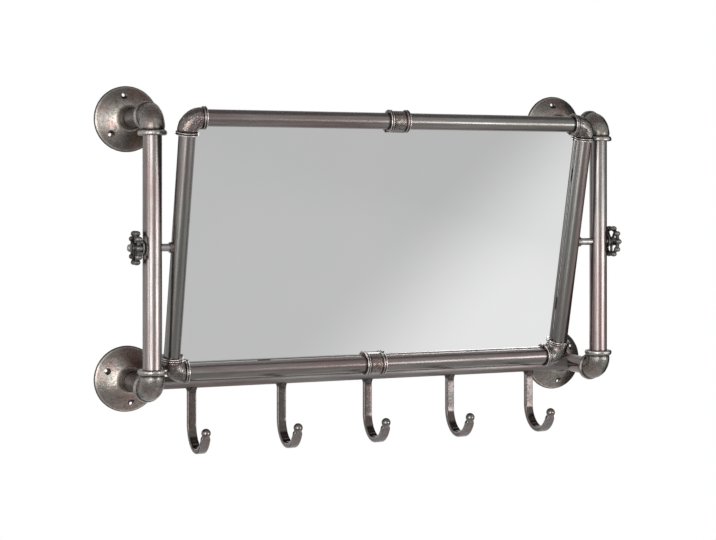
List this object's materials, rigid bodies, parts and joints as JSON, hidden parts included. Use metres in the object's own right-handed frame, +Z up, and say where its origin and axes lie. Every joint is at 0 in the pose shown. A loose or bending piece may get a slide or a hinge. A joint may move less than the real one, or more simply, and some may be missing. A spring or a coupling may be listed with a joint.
{
  "type": "wall mirror with hooks",
  "caption": "Tilting rectangular wall mirror in a pipe-fitting frame on a pipe stand, with clamp handwheels and a rail of J hooks below.",
  "frame": {"origin": "on the wall plane, midway between the four flanges", "axes": "+X along the wall to the right as seen from the room, +Y into the wall, +Z up"},
  "size_m": [0.75, 0.1883, 0.4895],
  "materials": {
    "pipe_steel": "antiqued, brushed and lacquered",
    "casting": "antiqued cast surface with rubbed highlights",
    "hook_steel": "antiqued, brushed and lacquered",
    "wheel_iron": "dark antiqued cast surface",
    "plain_steel": "dull plated",
    "mirror": "silvered glass",
    "backing_board": "dark fibreboard"
  },
  "bodies": {
    "wall_stand": {"flange_top_left": "casting", "flange_top_right": "casting", "flange_bottom_left": "casting", "flange_bottom_right": "casting", "stub_top_left": "pipe_steel", "stub_top_right": "pipe_steel", "stub_bottom_left": "pipe_steel", "stub_bottom_right": "pipe_steel", "stand_elbow_top_left": "casting", "stand_elbow_top_right": "casting", "stand_elbow_bottom_left": "casting", "stand_elbow_bottom_right": "casting", "post_left": "pipe_steel", "post_right": "pipe_steel", "hook_rail": "pipe_steel", "hook_1": "hook_steel", "hook_2": "hook_steel", "hook_3": "hook_steel", "hook_4": "hook_steel", "hook_5": "hook_steel", "clamp_washer_left": "plain_steel", "clamp_washer_right": "plain_steel"},
    "mirror_frame": {"frame_elbow_top_left": "casting", "frame_elbow_top_right": "casting", "frame_elbow_bottom_left": "casting", "frame_elbow_bottom_right": "casting", "side_pipe_left": "pipe_steel", "side_pipe_right": "pipe_steel", "top_pipe_left": "pipe_steel", "top_pipe_right": "pipe_steel", "bottom_pipe_left": "pipe_steel", "bottom_pipe_right": "pipe_steel", "coupling_top": "casting", "coupling_bottom": "casting", "pivot_boss_left": "casting", "pivot_boss_right": "casting", "mirror_glass": "mirror", "mirror_backing": "backing_board", "backing_brackets": "plain_steel", "bracket_screws": "plain_steel"},
    "left_wheel": {"handwheel_left": "wheel_iron", "spindle_left": "plain_steel", "wheel_nut_left": "plain_steel"},
    "right_wheel": {"handwheel_right": "wheel_iron", "spindle_right": "plain_steel", "wheel_nut_right": "plain_steel"}
  },
  "joints": [
    {"name": "mirror_tilt", "type": "hinge", "parent": "wall_stand", "child": "mirror_frame", "pos_m": [-0.004, -0.133, 0.006], "axis": [1, 0, 0], "range_deg": [-43.5, 16.5]},
    {"name": "left_wheel_turn", "type": "hinge", "parent": "mirror_frame", "child": "left_wheel", "pos_m": [-0.352, -0.133, 0.006], "axis": [-1, 0, 0], "continuous": true},
    {"name": "right_wheel_turn", "type": "hinge", "parent": "mirror_frame", "child": "right_wheel", "pos_m": [0.352, -0.133, 0.006], "axis": [1, 0, 0], "continuous": true}
  ]
}
